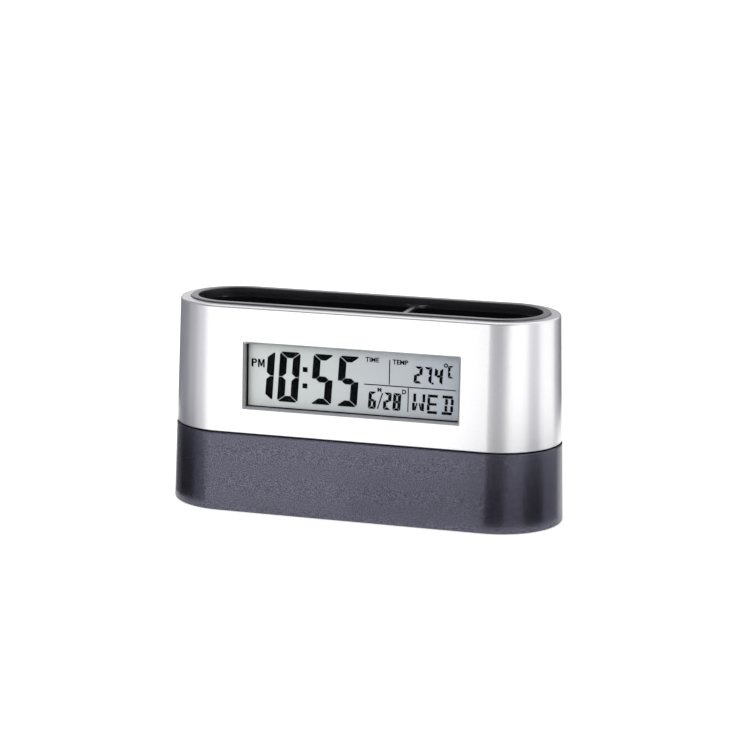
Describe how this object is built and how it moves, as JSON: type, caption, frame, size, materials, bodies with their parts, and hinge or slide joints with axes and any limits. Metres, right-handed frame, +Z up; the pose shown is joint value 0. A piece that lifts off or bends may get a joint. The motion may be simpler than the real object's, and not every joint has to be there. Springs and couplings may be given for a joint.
{
  "type": "pen holder clock",
  "caption": "Stadium-shaped desk pen holder with a divided tub on top, a digital display behind its front window, rear setting keys and a battery door underneath.",
  "frame": {"origin": "on the desk, under the middle of the case, at the centre of its bounding box's underside", "axes": "+X along the case's length, to the right as the display is read; -Y out of the display at the front; +Z up"},
  "size_m": [0.1606, 0.0522, 0.0836],
  "materials": {
    "silver_paint": "satin silver paint on moulded plastic",
    "dark_texture": "dark metallic grey plastic with a fine moulded texture",
    "black_tub": "black moulded plastic, satin",
    "clear_acrylic": "clear polished sheet",
    "black_plastic": "matt black plastic",
    "display_glass": "grey-green liquid crystal display",
    "foil": "silvered reflector sheet",
    "rubber_connector": "striped silicone connector",
    "board_green": "green lacquered circuit board",
    "plated_steel": "plated steel",
    "key_silver": "satin silver plastic",
    "switch_body": "black plastic with a steel cover",
    "cell_wrap": "printed film over a steel can",
    "foot_rubber": "black rubber",
    "brass_disc": "bare brass",
    "ribbon_grey": "grey flat cable",
    "red_insulation": "red wire insulation",
    "black_insulation": "black wire insulation"
  },
  "bodies": {
    "case": {"upper_casing": "silver_paint", "base_shell": "dark_texture", "inner_tub": "black_tub", "window_lens": "clear_acrylic", "display_holder": "black_plastic", "display_glass": "display_glass", "display_reflector": "foil", "upper_rubber_connector": "rubber_connector", "lower_rubber_connector": "rubber_connector", "clock_board": "board_green", "chip_blob": "black_plastic", "quartz_crystal": "plated_steel", "temperature_sensor": "black_plastic", "board_screw_1": "plated_steel", "board_screw_2": "plated_steel", "board_screw_3": "plated_steel", "board_screw_4": "plated_steel", "key_board": "board_green", "key_board_screw_1": "plated_steel", "key_board_screw_2": "plated_steel", "mode_switch": "switch_body", "set_switch": "switch_body", "up_switch": "switch_body", "down_switch": "switch_body", "alarm_switch": "switch_body", "battery_cell_1": "cell_wrap", "battery_cell_2": "cell_wrap", "battery_spring_1": "plated_steel", "battery_spring_2": "plated_steel", "bridge_contact": "plated_steel", "positive_contact": "plated_steel", "negative_contact": "plated_steel", "case_screw_1": "plated_steel", "case_screw_2": "plated_steel", "case_screw_3": "plated_steel", "case_screw_4": "plated_steel", "rubber_foot_1": "foot_rubber", "rubber_foot_2": "foot_rubber", "rubber_foot_3": "foot_rubber", "rubber_foot_4": "foot_rubber", "buzzer_disc": "brass_disc", "ribbon_cable": "ribbon_grey", "red_wire": "red_insulation", "black_wire": "black_insulation"},
    "door": {"battery_door": "dark_texture"},
    "mode_key": {"mode_button": "key_silver", "mode_plunger": "black_plastic"},
    "set_key": {"set_button": "key_silver", "set_plunger": "black_plastic"},
    "up_key": {"up_button": "key_silver", "up_plunger": "black_plastic"},
    "down_key": {"down_button": "key_silver", "down_plunger": "black_plastic"},
    "alarm_key": {"alarm_button": "key_silver", "alarm_plunger": "black_plastic"}
  },
  "joints": [
    {"name": "door_hinge", "type": "hinge", "parent": "case", "child": "door", "pos_m": [0, -0.0135, 0.001], "axis": [-1, 0, 0], "range_deg": [0, 80]},
    {"name": "mode_press", "type": "slide", "parent": "case", "child": "mode_key", "axis": [0, -1, 0], "range_m": [0, 0.0004], "stiffness_N_per_m": 2000, "springref_m": -0.0004},
    {"name": "set_press", "type": "slide", "parent": "case", "child": "set_key", "axis": [0, -1, 0], "range_m": [0, 0.0004], "stiffness_N_per_m": 2000, "springref_m": -0.0004},
    {"name": "up_press", "type": "slide", "parent": "case", "child": "up_key", "axis": [0, -1, 0], "range_m": [0, 0.0004], "stiffness_N_per_m": 2000, "springref_m": -0.0004},
    {"name": "down_press", "type": "slide", "parent": "case", "child": "down_key", "axis": [0, -1, 0], "range_m": [0, 0.0004], "stiffness_N_per_m": 2000, "springref_m": -0.0004},
    {"name": "alarm_press", "type": "slide", "parent": "case", "child": "alarm_key", "axis": [0, -1, 0], "range_m": [0, 0.0004], "stiffness_N_per_m": 2000, "springref_m": -0.0004}
  ]
}
